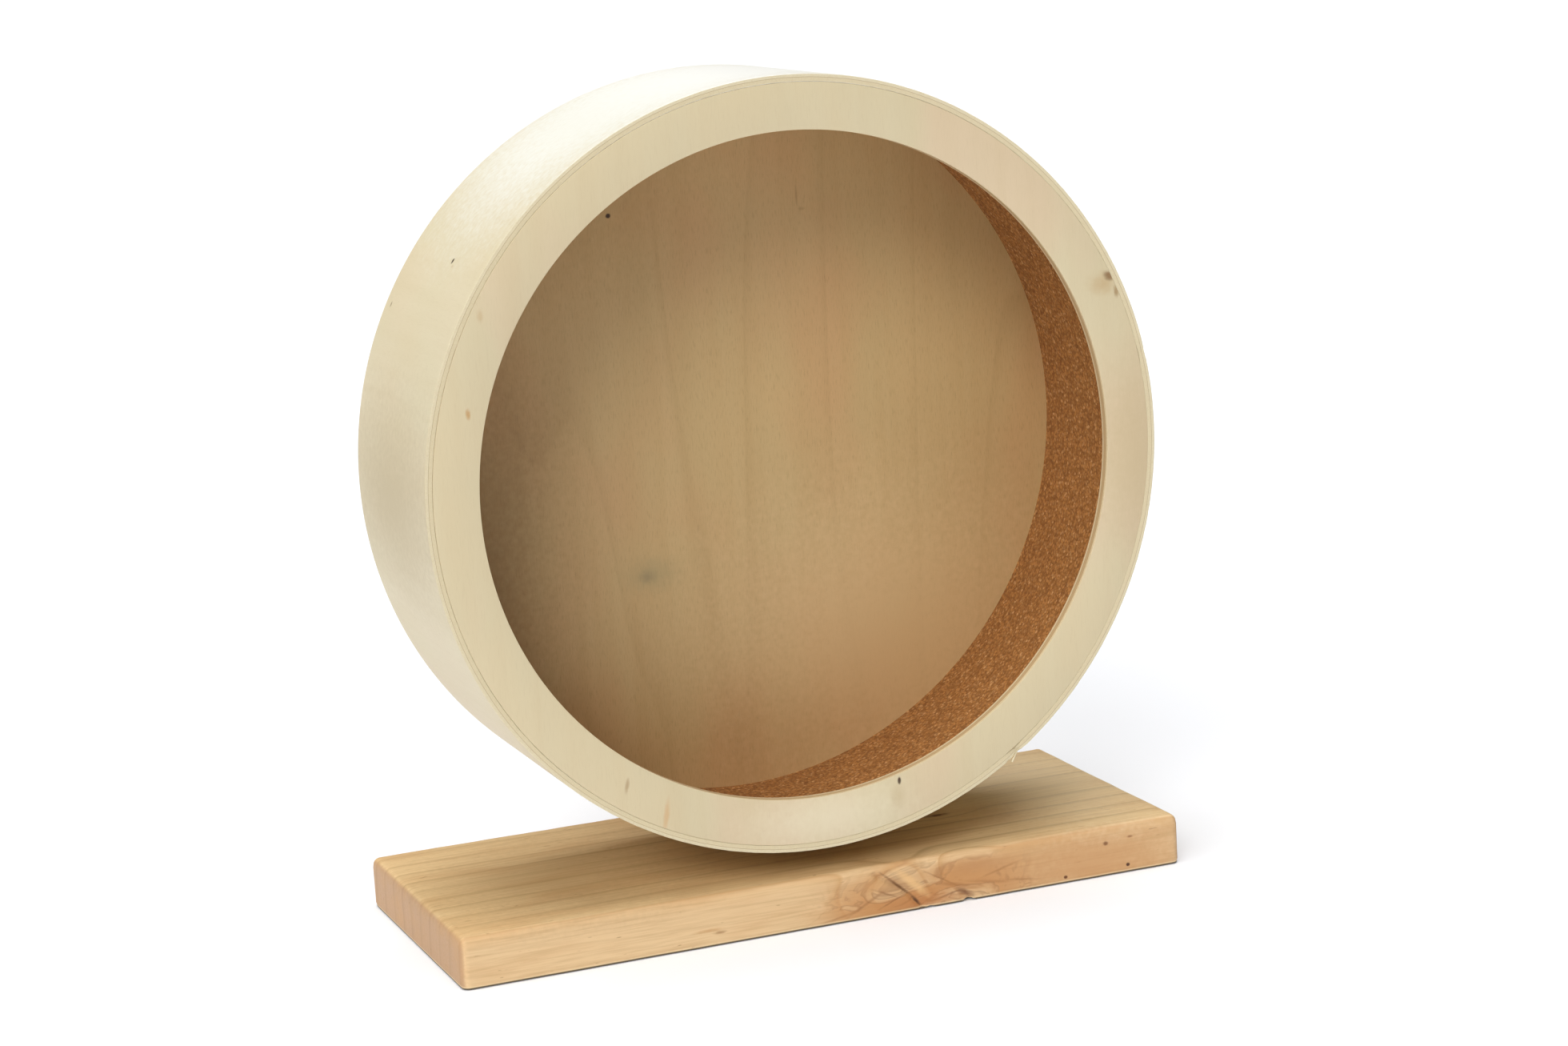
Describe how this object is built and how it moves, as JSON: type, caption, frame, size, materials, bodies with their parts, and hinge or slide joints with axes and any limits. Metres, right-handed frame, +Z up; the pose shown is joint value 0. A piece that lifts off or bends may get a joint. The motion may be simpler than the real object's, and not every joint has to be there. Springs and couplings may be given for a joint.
{
  "type": "rodent exercise wheel",
  "caption": "Wooden exercise wheel for a small rodent: an open-fronted, cork-lined plywood drum that spins on a ball-bearing axle in an upright post on a flat board.",
  "frame": {"origin": "middle of the base board's flat underside, on the surface it stands on", "axes": "+Z up; +X along the base board; +Y from the open front of the drum back to the post, along the axle"},
  "size_m": [0.294, 0.131, 0.3205],
  "materials": {
    "board_pine": "satin",
    "post_pine": "satin",
    "hoop_plywood": "satin",
    "ring_plywood": "satin",
    "disc_plywood": "satin",
    "hub_plywood": "satin",
    "cork": "matte",
    "zinc_screws": "satin",
    "zinc_bolt": "satin",
    "washer_steel": "satin",
    "bearing_steel": "polished",
    "shield_steel": "satin",
    "cage_steel": "satin",
    "nylon": "matte"
  },
  "bodies": {
    "stand": {"base_board": "board_pine", "upright_post": "post_pine", "post_screws": "zinc_screws", "front_bearing_outer_ring": "bearing_steel", "front_bearing_shields": "shield_steel", "rear_bearing_outer_ring": "bearing_steel", "rear_bearing_shields": "shield_steel"},
    "wheel": {"rim_band": "hoop_plywood", "front_ring": "ring_plywood", "cork_lining": "cork", "back_disc": "disc_plywood", "hub_block": "hub_plywood", "hub_screws": "zinc_screws", "axle_bolt": "zinc_bolt", "hub_washer": "washer_steel", "front_spacer_ring": "washer_steel", "bearing_spacer_sleeve": "washer_steel", "rear_shim_washer": "washer_steel", "lock_nut": "zinc_bolt", "lock_nut_insert": "nylon", "front_bearing_inner_ring": "bearing_steel", "rear_bearing_inner_ring": "bearing_steel"},
    "front_ball_cage": {"front_bearing_balls": "bearing_steel", "front_bearing_cage": "cage_steel"},
    "rear_ball_cage": {"rear_bearing_balls": "bearing_steel", "rear_bearing_cage": "cage_steel"}
  },
  "joints": [
    {"name": "wheel_spin", "type": "hinge", "parent": "stand", "child": "wheel", "pos_m": [-0.002, 0.05, 0.1755], "axis": [0, 1, 0], "continuous": true},
    {"name": "front_cage_spin", "type": "hinge", "parent": "stand", "child": "front_ball_cage", "pos_m": [-0.002, 0.0445, 0.1755], "axis": [0, 1, 0], "continuous": true},
    {"name": "rear_cage_spin", "type": "hinge", "parent": "stand", "child": "rear_ball_cage", "pos_m": [-0.002, 0.0555, 0.1755], "axis": [0, 1, 0], "continuous": true}
  ],
  "couplings": [
    {"joint": "front_cage_spin", "follows": "wheel_spin", "ratio": 0.3677},
    {"joint": "rear_cage_spin", "follows": "wheel_spin", "ratio": 0.3677}
  ]
}
